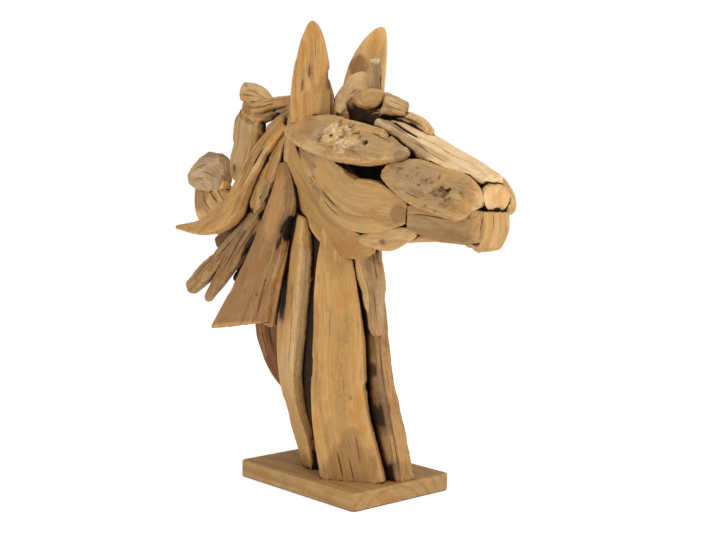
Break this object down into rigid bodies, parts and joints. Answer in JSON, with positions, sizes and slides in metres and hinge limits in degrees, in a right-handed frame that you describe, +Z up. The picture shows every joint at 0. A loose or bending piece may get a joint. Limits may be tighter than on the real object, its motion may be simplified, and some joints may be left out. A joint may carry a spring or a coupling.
{
  "type": "driftwood horse head sculpture",
  "caption": "Horse head and arched neck built up from worn pieces of driftwood, with a flaring mane, standing on a plain rectangular wooden base board.",
  "frame": {"origin": "middle of the base board's underside, the face that the sculpture stands on", "axes": "+X the way the horse looks, along the base board's long side; +Y to the horse's left; +Z up"},
  "size_m": [0.6468, 0.1886, 0.6589],
  "materials": {
    "board_teak": "smooth sanded teak, matt",
    "golden_teak": "worn golden teak, smooth and matt with fine grain and dry cracks",
    "tan_teak": "worn tan teak, matt, pitted in places",
    "cream_sapwood": "pale sapwood, sanded smooth",
    "brown_teak": "brown teak, matt, weathered",
    "weathered_grey_teak": "grey-brown weathered teak, rough and layered",
    "red_brown_teak": "red-brown weathered teak, rough"
  },
  "bodies": {
    "root": {"base_board": "board_teak", "right_brow_burl": "tan_teak", "right_nostril_plate": "tan_teak", "right_jaw_plank": "tan_teak", "right_cheek_board": "golden_teak", "right_jaw_lens": "tan_teak", "right_cheek_strap": "golden_teak", "nose_bridge_plank": "cream_sapwood", "nose_tip_block": "cream_sapwood", "chin_block": "golden_teak", "chin_underside_board": "golden_teak", "left_brow_board": "tan_teak", "left_nostril_plate": "cream_sapwood", "left_jaw_plank": "tan_teak", "left_cheek_board": "golden_teak", "left_jaw_lens": "tan_teak", "left_cheek_strap": "golden_teak", "right_ear": "golden_teak", "left_ear": "golden_teak", "right_ear_wedge": "brown_teak", "forelock_log": "golden_teak", "forelock_stub": "tan_teak", "forelock_root": "tan_teak", "forelock_block": "brown_teak", "forelock_knob": "golden_teak", "mane_fin": "golden_teak", "mane_branch": "golden_teak", "mane_horn": "golden_teak", "mane_long_strip": "golden_teak", "mane_short_strip": "tan_teak", "mane_shoulder_slab": "golden_teak", "mane_fist_cap": "weathered_grey_teak", "mane_fist_stem": "golden_teak", "mane_edge_sliver": "brown_teak", "mane_broad_board": "brown_teak", "mane_long_twig": "brown_teak", "mane_fork_twig": "brown_teak", "mane_shadow_stick": "red_brown_teak", "mane_under_chip": "brown_teak", "left_mane_board": "brown_teak", "left_mane_horn": "golden_teak", "left_mane_strip": "tan_teak", "left_mane_twig": "brown_teak", "left_mane_slab": "golden_teak", "right_neck_stave": "golden_teak", "right_neck_rear_stave": "golden_teak", "throat_wedge": "tan_teak", "front_neck_stave": "weathered_grey_teak", "right_neck_inner_slat": "brown_teak", "nape_slab": "red_brown_teak", "left_neck_stave": "golden_teak", "left_neck_rear_stave": "tan_teak", "nape_stave": "tan_teak", "poll_block": "tan_teak"}
  },
  "joints": []
}
